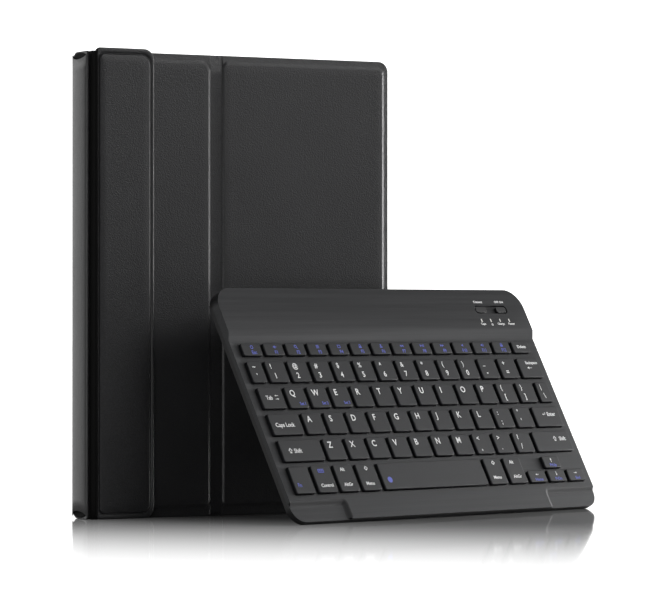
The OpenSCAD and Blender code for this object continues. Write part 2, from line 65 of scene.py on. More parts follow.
class Wire:
    """A shader socket that takes part in Python arithmetic."""

    def __init__(self, finish, socket):
        self.finish = finish
        self.socket = socket

    def _math(self, operation, left, right):
        settings = {"operation": operation}
        return self.finish.node("ShaderNodeMath", settings, {0: left, 1: right})

    def __add__(self, other):
        return self._math("ADD", self, other)

    __radd__ = __add__

    def __sub__(self, other):
        return self._math("SUBTRACT", self, other)

    def __rsub__(self, other):
        return self._math("SUBTRACT", other, self)

    def __mul__(self, other):
        return self._math("MULTIPLY", self, other)

    __rmul__ = __mul__

    def above(self, level):
        return self._math("GREATER_THAN", self, level)


class Finish:
    """A material: constants on the shader's own sockets, and wires for what varies."""

    def __init__(self, name, **constants):
        self.material = bpy.data.materials.new(name)
        self.material.use_nodes = True
        self.tree = self.material.node_tree
        self.shader = next(n for n in self.tree.nodes if n.type == "BSDF_PRINCIPLED")
        for socket, value in constants.items():
            socket = socket.replace("_", " ")
            if isinstance(value, tuple):
                value = (*value, 1.0)
            self.shader.inputs[socket].default_value = value
        colour = self.shader.inputs["Base Color"].default_value
        self.material.diffuse_color = colour
        self.at = self.node("ShaderNodeTexCoord", {}, {}, "Object")

    def node(self, kind, settings, inputs, output=0):
        """Any shader node: its settings are set first, then its sockets get values or wires."""
        node = self.tree.nodes.new(kind)
        for name, value in settings.items():
            setattr(node, name, value)
        for name, value in inputs.items():
            if isinstance(value, Wire):
                self.tree.links.new(value.socket, node.inputs[name])
            else:
                node.inputs[name].default_value = value
        return Wire(self, node.outputs[output])

    def noise(self, scale, detail=2.0, roughness=0.5, at=None):
        inputs = {"Vector": at or self.at, "Scale": scale, "Detail": detail,
                  "Roughness": roughness}
        return self.node("ShaderNodeTexNoise", {}, inputs, 0)

    def cells(self, scale, feature="F1", at=None):
        settings = {"feature": feature}
        return self.node("ShaderNodeTexVoronoi", settings, {"Vector": at or self.at,
                         "Scale": scale}, "Distance")

    def along(self, direction):
        inputs = {0: self.at, 1: tuple(direction)}
        return self.node("ShaderNodeVectorMath", {"operation": "DOT_PRODUCT"}, inputs, "Value")

    def blend(self, factor, first, second):
        """A colour between two others. The Mix node's colour sockets are found by number."""
        inputs = {0: factor, 6: (*first, 1.0), 7: (*second, 1.0)}
        return self.node("ShaderNodeMix", {"data_type": "RGBA"}, inputs, 2)

    def feed(self, socket, wire):
        """Leads a wire into one of the shader's own sockets."""
        self.tree.links.new(wire.socket, self.shader.inputs[socket])
        return self

    def relief(self, height, depth, strength=1.0):
        """Bumps of a depth in metres."""
        inputs = {"Height": height, "Distance": depth, "Strength": strength}
        return self.feed("Normal", self.node("ShaderNodeBump", {}, inputs))


# ---------------------------------------------------------------- the keyboard's own axes

KEY_UP = -Vector(JOINTS["space_press"]["axis"])
KEY_RIGHT = -Vector(JOINTS["power_slide"]["axis"])
KEY_BACK = KEY_UP.cross(KEY_RIGHT)


def corners(node):
    """All vertices of a CAD node as an array."""
    mesh = NODES[node].data
    points = np.empty(len(mesh.vertices) * 3)
    mesh.vertices.foreach_get("co", points)
    return points.reshape(-1, 3)


def keyboard_corner():
    """The keyboard's front left corner, at the level of its base."""
    points = corners("keyboard_base")
    axes = (KEY_RIGHT, KEY_BACK, KEY_UP)
    lows = [(points @ np.array(axis)).min() for axis in axes]
    return sum((axis * float(low) for axis, low in zip(axes, lows)), Vector())


KEY_ZERO = keyboard_corner()


def on_keyboard(u, v, n):
    """A point from its place along, up and out of the keyboard."""
    return KEY_ZERO + KEY_RIGHT * u + KEY_BACK * v + KEY_UP * n


def keyboard_span(points):
    """Lowest and highest u, v and n of some points."""
    local = np.array(points) - np.array(KEY_ZERO)
    axes = np.array([KEY_RIGHT, KEY_BACK, KEY_UP])
    local = local @ axes.T
    return local.min(0), local.max(0)


def islands(node):
    """The vertex sets of a node's separate solids."""
    points = corners(node)
    owner = {}

    def root(key):
        while owner[key] != key:
            owner[key] = owner[owner[key]]
            key = owner[key]
        return key

    keys = [tuple(np.round(p, 6)) for p in points]
    for key in keys:
        owner.setdefault(key, key)
    for polygon in NODES[node].data.polygons:
        first = root(keys[polygon.vertices[0]])
        for index in polygon.vertices[1:]:
            owner[root(keys[index])] = first
    groups = {}
    for key in owner:
        groups.setdefault(root(key), []).append(key)
    return list(groups.values())


# ---------------------------------------------------------------- finishes

def black_leather():
    """Fine pebbled leather: the pebbles catch the light and the gaps stay dark."""
    finish = Finish("black_leather", Base_Color=(0.02, 0.02, 0.021), IOR=1.45)
    pebbles = finish.cells(1700.0, "SMOOTH_F1")
    pores = finish.noise(2300.0, 3.0, 0.7)
    worn = finish.noise(22.0, 3.0, 0.55)
    shade = (pores - 0.5) * 2.6 + 0.3 + worn * 0.4
    finish.feed("Base Color", finish.blend(shade, (0.006, 0.006, 0.0065), (0.027, 0.027, 0.029)))
    finish.feed("Roughness", 0.34 + worn * 0.1 + pebbles * 0.14)
    return finish.relief(pebbles + pores * 0.5, 0.00013, 1.0)


def painted_shade_leather():
    """Leather in the creases and recesses, painted near black and dull as painted shade where
    light does not reach.
    """
    finish = Finish("painted_shade_leather", Specular_IOR_Level=0.15)
    wrinkles = finish.noise(500.0, 3.0, 0.6)
    finish.feed("Base Color", finish.blend(wrinkles, (0.002, 0.002, 0.002), (0.006, 0.006, 0.006)))
    finish.feed("Roughness", 0.75 + wrinkles * 0.15)
    return finish.relief(wrinkles, 0.00015, 0.7)


def painted_highlight_leather():
    """The edge strip's roll: the black leather painted lighter, as a painted highlight for the
    light its curve catches.
    """
    finish = Finish("painted_highlight_leather", Base_Color=(0.03, 0.03, 0.031), IOR=1.5)
    pebbles = finish.cells(1250.0, "SMOOTH_F1")
    worn = finish.noise(30.0, 3.0)
    tone = finish.blend(worn, (0.035, 0.035, 0.036), (0.06, 0.06, 0.061))
    finish.feed("Base Color", tone)
    finish.feed("Roughness", 0.36 + worn * 0.1 + pebbles * 0.1)
    return finish.relief(pebbles, 0.0001, 0.8)


def napped_lining():
    """Short grey nap with broad strokes in it."""
    finish = Finish("napped_lining", Sheen_Weight=0.4, Sheen_Roughness=0.5,
                    Specular_IOR_Level=0.2)
    nap = finish.noise(2600.0, 3.0, 0.7)
    strokes = finish.noise(35.0, 2.0)
    finish.feed("Base Color", finish.blend(strokes, (0.03, 0.03, 0.033), (0.055, 0.055, 0.06)))
    finish.feed("Roughness", 0.85 + nap * 0.12)
    return finish.relief(nap, 0.00012, 0.7)


def brushed(name, dark, light, metallic, rough, along=None, across=None, out=None, relief=2e-6):
    """Brushed metal: streaks run in the direction named along."""
    finish = Finish(name, Base_Color=light, Metallic=metallic)
    along, across, out = along or X, across or Z, out or Y
    line = finish.node("ShaderNodeCombineXYZ", {}, {
        "X": finish.along(along) * 14.0,
        "Y": finish.along(across) * 2600.0,
        "Z": finish.along(out) * 2600.0,
    })
    fine = finish.noise(1.0, 3.0, 0.65, at=line)
    broad_line = finish.node("ShaderNodeCombineXYZ", {}, {
        "X": finish.along(along) * 5.0,
        "Y": finish.along(across) * 420.0,
        "Z": finish.along(out) * 420.0,
    })
    broad = finish.noise(1.0, 2.0, 0.5, at=broad_line)
    streak = fine * 0.65 + broad * 0.35
    finish.feed("Base Color", finish.blend(streak, dark, light))
    finish.feed("Roughness", rough - 0.12 + streak * 0.24)
    return finish.relief(streak, relief, 1.0)


def moulded(name, colour, rough, grain=1800.0, depth=0.00002, spread=1.25, level=0.5):
    """Moulded plastic with an etched grain and slight changes of tone."""
    finish = Finish(name, Base_Color=colour, Specular_IOR_Level=level)
    etched = finish.noise(grain, 2.0, 0.6)
    patches = finish.noise(40.0, 2.0)
    deeper = tuple(c / spread for c in colour)
    finish.feed("Base Color", finish.blend(patches, deeper, colour))
    finish.feed("Roughness", rough - 0.05 + etched * 0.1 + patches * 0.06)
    return finish.relief(etched, depth, 0.6)


def pasteboard():
    """Pressed fibre board, hidden inside the panels."""
    finish = Finish("pasteboard", Base_Color=(0.35, 0.31, 0.25))
    fibres = finish.noise(700.0, 4.0, 0.7)
    finish.feed("Base Color", finish.blend(fibres, (0.27, 0.24, 0.19), (0.42, 0.38, 0.31)))
    finish.feed("Roughness", 0.8 + fibres * 0.15)
    return finish.relief(fibres, 0.00005, 0.5)


def circuit_lacquer():
    """Green lacquer over patches of copper."""
    finish = Finish("circuit_lacquer", Base_Color=(0.02, 0.14, 0.05), Coat_Weight=0.5)
    copper = finish.cells(260.0, "F1").above(0.42)
    finish.feed("Base Color", finish.blend(copper, (0.015, 0.12, 0.04), (0.04, 0.2, 0.07)))
    finish.feed("Roughness", 0.3 + finish.noise(300.0) * 0.1)
    return finish.relief(copper, 0.00002, 0.5)


FINISHES = {
    "black_leather": black_leather(),
    "painted_highlight_leather": painted_highlight_leather(),
    "painted_shade_leather": painted_shade_leather(),
    "napped_lining": napped_lining(),
    "brushed_deck": brushed("brushed_deck", (0.015, 0.015, 0.016), (0.046, 0.047, 0.049), 0.7,
                            0.4, KEY_RIGHT, KEY_BACK, KEY_UP),
    # The rests' slope: a rougher copy of the deck's metal, painted darker as painted shade that
    # dims its highlight.
    "rest_metal_painted_shade": brushed("rest_metal_painted_shade", (0.012, 0.012, 0.013), (0.03, 0.03, 0.032), 0.4,
                          0.68, KEY_RIGHT, KEY_BACK, KEY_UP),
    "key_top": moulded("key_top", (0.0095, 0.01, 0.012), 0.5, 2600.0, 0.000012, level=0.3),
    "case_plastic": moulded("case_plastic", (0.008, 0.008, 0.009), 0.45, level=0.35),
    "control_plastic": moulded("control_plastic", (0.012, 0.012, 0.013), 0.35),
    "tray_plastic": moulded("tray_plastic", (0.016, 0.016, 0.017), 0.5, 1400.0, 0.00003),
    "foot_rubber": moulded("foot_rubber", (0.012, 0.012, 0.012), 0.75, 900.0, 0.00003),
    "dome_rubber": moulded("dome_rubber", (0.5, 0.5, 0.5), 0.5),
    "clip_plastic": moulded("clip_plastic", (0.65, 0.65, 0.63), 0.4),
    "membrane_film": moulded("membrane_film", (0.3, 0.48, 0.35), 0.15, 500.0, 0.00001),
    "battery_foil": moulded("battery_foil", (0.42, 0.43, 0.45), 0.3, 400.0, 0.00003),
    "lamp_plastic": moulded("lamp_plastic", (0.75, 0.75, 0.72), 0.25),
    "white_ink": moulded("white_ink", (0.82, 0.82, 0.82), 0.5, 3000.0, 0.000004),
    "blue_ink": moulded("blue_ink", (0.075, 0.1, 0.5), 0.5, 3000.0, 0.000004),
    "brushed_steel": brushed("brushed_steel", (0.42, 0.42, 0.43), (0.6, 0.6, 0.62), 1.0, 0.35),
    "plated_magnet": brushed("plated_magnet", (0.55, 0.55, 0.57), (0.7, 0.7, 0.72), 1.0, 0.25),
    "pasteboard": pasteboard(),
    "circuit_lacquer": circuit_lacquer(),
}


def paint(piece, *finishes):
    """Gives a piece its materials. Every face goes back to the first of them."""
    piece.data.materials.clear()
    for name in finishes:
        piece.data.materials.append(FINISHES[name].material)


def finish_piece(piece, body, finishes, replaced=()):
    """Gives a new piece its materials, its body and the nodes it replaces."""
    if body:
        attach(piece, body)
    if not piece.data.materials:
        paint(piece, *finishes)
    if replaced:
        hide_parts(*replaced)
    return piece


# ---------------------------------------------------------------- mesh building

def new_piece(name, vertices, faces, smooth=True):
    """A new object from points and faces, with its faces turned outwards."""
    mesh = bpy.data.meshes.new(name)
    mesh.from_pydata([tuple(v) for v in vertices], [], faces)
    mesh.update()
    work = bmesh.new()
    work.from_mesh(mesh)
    bmesh.ops.recalc_face_normals(work, faces=work.faces)
    work.to_mesh(mesh)
    work.free()
    if smooth:
        mesh.polygons.foreach_set("use_smooth", [True] * len(mesh.polygons))
    piece = bpy.data.objects.new(name, mesh)
    bpy.context.scene.collection.objects.link(piece)
    return piece


def apply_modifiers(piece):
    """Turns a piece's modifiers into its mesh."""
    bpy.context.view_layer.update()
    shaped = piece.evaluated_get(bpy.context.evaluated_depsgraph_get())
    mesh = bpy.data.meshes.new_from_object(shaped)
    old = piece.data
    piece.modifiers.clear()
    piece.data = mesh
    mesh.name = piece.name
    bpy.data.meshes.remove(old)
    return piece


def round_rectangle(low, high, radii, inset, steps=8):
    """Points round a rectangle with its own radius at each corner, moved inward by inset.
    The corners run low-low, high-low, high-high, low-high."""
    left, bottom = low[0] + inset, low[1] + inset
    right, top = high[0] - inset, high[1] - inset
    room = min(right - left, top - bottom) / 2 * 0.999
    places = [(left, bottom, 1, 1, 180), (right, bottom, -1, 1, 270),
              (right, top, -1, -1, 0), (left, top, 1, -1, 90)]
    points = []
    for (x, y, sx, sy, start), radius in zip(places, radii):
        r = max(min(radius - inset, room), 0.00005)
        for step in range(steps + 1):
            angle = math.radians(start + 90.0 * step / steps)
            points.append((x + sx * r + r * math.cos(angle), y + sy * r + r * math.sin(angle)))
    return points


def tube_faces(rings, count):
    """The faces between rings that each have the same number of points."""
    faces = []
    for ring in range(rings - 1):
        for i in range(count):
            j = (i + 1) % count
            a, b = ring * count, (ring + 1) * count
            faces.append((a + i, a + j, b + j, b + i))
    return faces


def loft(name, rings, place):
    """A closed solid through rings of equal length. Each ring is a list of (x, y) and a depth."""
    count = len(rings[0][0])
    vertices = [place(x, y, depth) for points, depth in rings for x, y in points]
    faces = [tuple(range(count - 1, -1, -1))] + tube_faces(len(rings), count)
    last = (len(rings) - 1) * count
    faces.append(tuple(last + i for i in range(count)))
    return new_piece(name, vertices, faces)


def edge_round(width, low, high, steps=5, back_width=0.3 * MM):
    """(inset, depth) pairs round the edge of a plate from its back to its front."""
    b = min(back_width, (high - low) * 0.3)
    r = min(width, (high - low) - b)
    angles = [math.pi / 2 * i / steps for i in range(steps + 1)]
    back = [(b - b * math.sin(a), low + b - b * math.cos(a)) for a in angles]
    front = [(r - r * math.cos(a), high - r + r * math.sin(a)) for a in angles]
    return back + front


def outline_rings(low, high, radii, profile):
    """A rounded rectangle at each (inset, depth) of a profile."""
    return [(round_rectangle(low, high, radii, inset), depth) for inset, depth in profile]


def side_ring(low, high, radii, insets):
    """A rounded rectangle moved in by its own amount at the left, bottom, right and top."""
    left, bottom, right, top = insets
    return round_rectangle((low[0] + left, low[1] + bottom), (high[0] - right, high[1] - top),
                           radii, 0.0)


# The rings up a padded rise, and how far the field's flat middle starts beyond the rise.
RISE_STEPS = 7
FIELD_RUN = 4 * MM


def leather_plate(name, low, high, radii, back, border, top, field, side, roll=1.0 * MM,
                  bevels=(1.5 * MM,) * 4, field_radii=(4 * MM,) * 4, stretch=(1, 1, 1, 1),
                  groove=None):
    """A leather-covered board: a rolled edge, a flat border and a padded field.
    low and high bound it in X and Z. field holds the border's width at the left, bottom,
    right and top, and bevels how wide the leather rises there. Depths run along side."""
    rings = []
    for inset, depth in edge_round(roll, 0.0, border):
        insets = [inset * s for s in stretch]
        rings.append((side_ring(low, high, [max(r - inset, 0.2 * MM) for r in radii], insets),
                      depth))
    if groove:
        lip, bottom = groove
        for extra, depth in ((-lip * 1.6, border), (-lip * 1.3, border - 0.12 * MM),
                             (-lip * 1.1, bottom), (-lip * 0.25, bottom)):
            rings.append((side_ring(low, high, [r - extra for r in field_radii],
                                    [f + extra for f in field]), depth))
        border = bottom
    for i in range(RISE_STEPS + 1):
        t = i / RISE_STEPS
        insets = [f + b * t for f, b in zip(field, bevels)]
        ease = 0.5 - 0.5 * math.cos(math.pi * t)
        depth = border + (top - border) * (0.45 * ease + 0.55 * math.sin(math.pi / 2 * t))
        spare = [max(r - min(bevels) * t, 0.3 * MM) for r in field_radii]
        rings.append((side_ring(low, high, spare, insets), depth))
    last = [f + b + FIELD_RUN for f, b in zip(field, bevels)]
    rings.append((side_ring(low, high, spare, last), top))
    return loft(name, rings, lambda x, z, depth: Vector((x, back + side * depth, z)))


def strip(name, path, thickness, low, high, steps=24, trims=None):
    """A thin leather strip that follows a path in X and Y, from height low to height high.
    trims holds how far the strip's ends are cut back at each point of the path."""
    points = [Vector((x, y, 0)) for x, y in path]
    trims = trims or [0.0] * len(points)
    section = []
    for sign in (1, -1):
        order = range(len(points)) if sign > 0 else range(len(points) - 1, -1, -1)
        for i in order:
            before, after = points[max(i - 1, 0)], points[min(i + 1, len(points) - 1)]
            along = (after - before).normalized()
            normal = Vector((-along.y, along.x, 0))
            section.append((points[i] + normal * sign * thickness / 2, trims[i]))
    vertices = []
    for ring in range(steps + 1):
        for place, trim in section:
            z = low + trim + (high - low - 2 * trim) * ring / steps
            vertices.append(Vector((place.x, place.y, z)))
    count = len(section)
    half = count // 2
    faces = tube_faces(steps + 1, count)
    for base in (0, steps * count):
        faces += [(base + i, base + i + 1, base + count - 2 - i, base + count - 1 - i)
                  for i in range(half - 1)]
    return new_piece(name, vertices, faces)


def curve(points, steps=5):
    """A smooth run through a few points."""
    line = [points[0]] + list(points) + [points[-1]]
    smooth = []
    for a, b, c, d in zip(line, line[1:], line[2:], line[3:]):
        for i in range(steps):
            t = i / steps
            smooth.append(tuple(
                0.5 * (2 * q + (r - p) * t + (2 * p - 5 * q + 4 * r - s) * t * t
                       + (3 * q - p - 3 * r + s) * t ** 3)
                for p, q, r, s in zip(a, b, c, d)))
    return smooth + [points[-1]]


EDGE_ANGLE = math.radians(35.0)
SHARP_ANGLE = math.radians(50.0)


def softened(node, name, width, finish, body):
    """A copy of a CAD node with its edges rounded over."""
    mesh = NODES[node].data.copy()
    mesh.materials.clear()
    work = bmesh.new()
    work.from_mesh(mesh)
    bmesh.ops.remove_doubles(work, verts=work.verts, dist=1e-6)
    bmesh.ops.dissolve_limit(work, angle_limit=math.radians(1.0), verts=work.verts,
                             edges=work.edges)
    work.to_mesh(mesh)
    work.free()
    piece = bpy.data.objects.new(name, mesh)
    bpy.context.scene.collection.objects.link(piece)
    bevel = piece.modifiers.new("edge", "BEVEL")
    bevel.width = width
    bevel.segments = 2
    bevel.limit_method = "ANGLE"
    bevel.angle_limit = EDGE_ANGLE
    bevel.harden_normals = False
    bevel.use_clamp_overlap = True
    apply_modifiers(piece)
    piece.data.polygons.foreach_set("use_smooth", [True] * len(piece.data.polygons))
    piece.data.set_sharp_from_angle(angle=SHARP_ANGLE)
    even = piece.modifiers.new("even", "WEIGHTED_NORMAL")
    even.keep_sharp = True
    even.weight = 100
    apply_modifiers(piece)
    return finish_piece(piece, body, [finish], [node])


# ---------------------------------------------------------------- camera, floor and light

CAMERA_PLACE = Vector((-1.0314, -1.7605, 0.1105))
CAMERA_AIM = Vector((-0.0416, -0.0225, 0.1184))
CAMERA_LENS, CAMERA_SENSOR = 207.2, 36.0
CLIP_END = 30.0
FLOOR_HALF = 12.0
FLOOR_GLOW = 1.1
HAZE_WAY = Vector((-0.72, -0.694, 0))
HAZE_START, HAZE_FULL = 0.02, 0.5
BACKDROP_WAY = (0.0, 1.0, -0.2)
BACKDROP_START, BACKDROP_FULL = 0.1, 0.7
BACKDROP_LEVEL, ROOM_LEVEL = 1.85, 0.07
# Each softbox: its name, its place, the point it faces, its width and height, and its watts.
SOFTBOXES = (
    ("high_right_softbox", (0.95, -0.3, 0.5), (0, 0, 0.12), (0.4, 0.4), 0.85),
    ("front_softbox", (0.45, -0.95, 0.75), (0, 0, 0.12), (0.5, 0.5), 5.2),
    ("right_softbox", (1.35, 0.02, 0.13), (0, 0, 0.12), (0.6, 0.5), 24.0),
    ("left_softbox", (-0.9, -0.75, 0.1), (0, 0, 0.08), (0.5, 0.3), 3.2),
    ("top_softbox", (0.6, -0.2, 1.15), (0, 0, 0.2), (0.3, 0.3), 3.2),
)


def facing(place, aim):
    """The turn that points a camera or a light from its place at another point."""
    return (Vector(aim) - Vector(place)).to_track_quat("-Z", "Y").to_euler()


def place_camera():
    camera = bpy.data.cameras.new("camera")
    camera.lens = CAMERA_LENS
    camera.sensor_width = CAMERA_SENSOR
    camera.clip_end = CLIP_END
    holder = bpy.data.objects.new("camera", camera)
    holder.location = CAMERA_PLACE
    holder.rotation_euler = facing(CAMERA_PLACE, CAMERA_AIM)
    bpy.context.scene.collection.objects.link(holder)
    bpy.context.scene.camera = holder


def lay_floor():
    """A glossy floor that turns white towards the front."""
    half = FLOOR_HALF
    floor = new_piece("studio_floor", [(-half, -half, 0), (half, -half, 0), (half, half, 0),
                      (-half, half, 0)], [(0, 1, 2, 3)], smooth=False)
    gloss = Finish("studio_floor", Base_Color=(0.3, 0.3, 0.3), Roughness=0.06,
                   Emission_Strength=FLOOR_GLOW)
    nearer = gloss.along(HAZE_WAY)
    haze = gloss.node("ShaderNodeMapRange", {"interpolation_type": "SMOOTHSTEP"},
                      {"Value": nearer, "From Min": HAZE_START, "From Max": HAZE_FULL})
    direct = gloss.node("ShaderNodeLightPath", {}, {}, "Is Camera Ray")
    gloss.feed("Emission Color", gloss.blend(haze * direct, (0.0, 0.0, 0.0), (1.0, 1.0, 1.0)))
    floor.data.materials.append(gloss.material)


def light_world():
    """A bright backdrop behind the part and a dim room on the other sides."""
    world = bpy.data.worlds.new("studio_world")
    world.use_nodes = True
    bpy.context.scene.world = world
    tree = world.node_tree
    backdrop = next(n for n in tree.nodes if n.type == "BACKGROUND")
    backdrop.inputs["Strength"].default_value = BACKDROP_LEVEL
    room = tree.nodes.new("ShaderNodeBackground")
    room.inputs["Strength"].default_value = ROOM_LEVEL
    for shade in (backdrop, room):
        shade.inputs["Color"].default_value = (1, 1, 1, 1)
    direction = tree.nodes.new("ShaderNodeTexCoord")
    ahead = tree.nodes.new("ShaderNodeVectorMath")
    ahead.operation = "DOT_PRODUCT"
    ahead.inputs[1].default_value = BACKDROP_WAY
    spread = tree.nodes.new("ShaderNodeMapRange")
    spread.interpolation_type = "SMOOTHSTEP"
    spread.inputs["From Min"].default_value = BACKDROP_START
    spread.inputs["From Max"].default_value = BACKDROP_FULL
    mix = tree.nodes.new("ShaderNodeMixShader")
    output = next(n for n in tree.nodes if n.type == "OUTPUT_WORLD")
    tree.links.new(direction.outputs["Generated"], ahead.inputs[0])
    tree.links.new(ahead.outputs["Value"], spread.inputs["Value"])
    tree.links.new(spread.outputs["Result"], mix.inputs[0])
    tree.links.new(room.outputs[0], mix.inputs[1])
    tree.links.new(backdrop.outputs[0], mix.inputs[2])
    tree.links.new(mix.outputs[0], output.inputs["Surface"])


def light_softboxes():
    for name, place, aim, size, power in SOFTBOXES:
        light = bpy.data.lights.new(name, "AREA")
        light.shape = "RECTANGLE"
        light.size, light.size_y = size
        light.energy = power
        lamp = bpy.data.objects.new(name, light)
        lamp.location = place
        lamp.rotation_euler = facing(place, aim)
        bpy.context.scene.collection.objects.link(lamp)


place_camera()
lay_floor()
light_world()
light_softboxes()
bpy.context.scene.view_settings.view_transform = "Standard"


# ---------------------------------------------------------------- folio

FOLD = Vector(JOINTS["leg_fold"]["pos_m"])
FOLD_HALF = 3 * MM          # from the fold's middle to a panel's edge
BORDER = 4 * MM             # flat leather round a padded field
FOOT_BORDER = 6 * MM        # the same at the bottom edge
BOSS = 1 * MM               # how far a padded field stands out
CORNER = 6 * MM             # radius of the folio's corners
CREASE = 1.1 * MM           # strip of painted shade at the flap's hinge edge
SPINE_PLATE = 0.9 * MM      # flat leather behind the spine's round roll
SPINE_CORNER = 5 * MM
ROLL_TRIM = 1.0 * MM        # how far the roll's ends stop short at its edges
ROLL_SCOOP = 3.4 * MM       # and how much more in its middle


def wide_panel():
    """The skin of the panel on the far side of the fold."""
    low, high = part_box("wide_panel_leather")
    left = FOLD.x + FOLD_HALF
    thick = high.y - low.y
    piece = leather_plate(
        "wide_panel_skin", (left, low.z), (high.x, high.z),
        (0.8 * MM, CORNER, CORNER, 0.8 * MM), high.y, thick - BOSS, thick,
        (0.5 * MM, FOOT_BORDER - 0.8 * MM, BORDER - 1 * MM, BORDER - 1 * MM), -1,
        bevels=(1.3 * MM, 1.6 * MM, 2.0 * MM, 2.4 * MM),
        field_radii=(3 * MM, CORNER - 2 * MM, CORNER - 2 * MM, 4 * MM))
    finish_piece(piece, "back_panel", ["black_leather"], ["wide_panel_leather"])


def leg_panel():
    """The skin of the narrow panel that folds out as a stand."""
    low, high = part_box("leg_leather")
    right = FOLD.x - FOLD_HALF
    thick = high.y - low.y
    piece = leather_plate(
        "leg_skin", (low.x, low.z), (right, high.z), (2 * MM, 0.8 * MM, 0.8 * MM, 2 * MM),
        high.y, thick - BOSS, thick,
        (BORDER - 0.8 * MM, FOOT_BORDER - 0.8 * MM, 0.5 * MM, BORDER - 1 * MM), -1,
        bevels=(1.5 * MM, 1.6 * MM, 2.2 * MM, 2.4 * MM),
        field_radii=(2 * MM, 4 * MM, 6 * MM, 2 * MM))
    finish_piece(piece, "stand_leg", ["black_leather"], ["leg_leather"])


def flap():
    """The closure flap, with a groove sunk round its field."""
    low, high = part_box("flap_leather")
    thick = high.y - low.y
    piece = leather_plate(
        "flap_skin", (low.x, low.z), (high.x, high.z), (3 * MM, CORNER, CORNER, 3 * MM),
        high.y, thick - 0.45 * MM, thick, (2.0 * MM, 3.2 * MM, 2.2 * MM, 3.2 * MM), -1,
        roll=1.2 * MM, bevels=(0.5 * MM, 0.5 * MM, 1.4 * MM, 0.8 * MM), stretch=(0.9, 1, 1, 1),
        field_radii=(3 * MM, 5 * MM, 5.5 * MM, 3 * MM), groove=(0.55 * MM, thick - 1.15 * MM))
    # Faces along the hinge edge get the near-black crease leather: painted shade.
    paint(piece, "black_leather", "painted_shade_leather")
    for face in piece.data.polygons:
        in_crease_shade = face.center.x < low.x + CREASE and abs(face.normal.z) < 0.7
        face.material_index = 1 if in_crease_shade else 0
    finish_piece(piece, "closure_flap", ["black_leather"], ["flap_leather"])


def far_cover():
    low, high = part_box("cover_leather")
    thick = high.y - low.y
    piece = leather_plate(
        "cover_skin", (low.x, low.z), (high.x, high.z), (4 * MM, CORNER, CORNER, 4 * MM),
        low.y, thick - 0.5 * MM, thick, (BORDER,) * 4, 1)
    finish_piece(piece, "far_cover", ["black_leather"], ["cover_leather"])


def spine():
    """The edge strip: a flat skin, a round roll on it painted lighter as a painted highlight, and
    a patch of painted shadow at each end.
    """
    low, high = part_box("spine_leather")
    inner = high.x
    plate = SPINE_PLATE
    radii = (1.5 * MM, SPINE_CORNER, SPINE_CORNER, 1.5 * MM)
    profile = edge_round(0.5 * MM, 0.0, plate) + [(0.8 * MM, plate)]
    rings = outline_rings((low.y, low.z), (high.y, high.z), radii, profile)
    skin = loft("spine_skin", rings, lambda y, z, depth: Vector((inner - depth, y, z)))
    finish_piece(skin, "spine_strip", ["black_leather"], ["spine_leather"])

    front, rear = low.y + 0.3 * MM, high.y - 0.3 * MM
    middle, half = (front + rear) / 2, (rear - front) / 2
    bulge = high.x - low.x - plate
    steps = 28
    angles = [math.pi * i / steps for i in range(steps + 1)]
    path = [(inner - plate + 0.2 * MM - bulge * math.sin(a), middle - half * math.cos(a))
            for a in angles]
    trims = [ROLL_TRIM + ROLL_SCOOP * math.sin(a) ** 0.8 for a in angles]
    roll = strip("spine_roll", path, 0.4 * MM, low.z, high.z, steps=40, trims=trims)
    # The roll's lighter leather is a painted highlight.
    finish_piece(roll, "spine_strip", ["painted_highlight_leather"], [])

    # Each end gets a near-black patch: painted shadow for the shade in the recess there.
    for name, z in (("spine_painted_shadow_top", high.z - 2.6 * MM),
                    ("spine_painted_shadow_foot", low.z + 2.6 * MM)):
        rings = []
        for scale, depth in ((1.0, plate - 0.2 * MM), (1.0, plate + 0.04 * MM),
                             (0.6, plate + 0.05 * MM)):
            points = [(middle + (half - 1 * MM) * scale * math.cos(a),
                       z + 2 * MM * scale * math.sin(a))
                      for a in (2 * math.pi * i / 32 for i in range(32))]
            rings.append((points, depth))
        shade_patch = loft(name, rings, lambda y, z, depth: Vector((inner - depth, y, z)))
        finish_piece(shade_patch, "spine_strip", ["painted_shade_leather"], [])


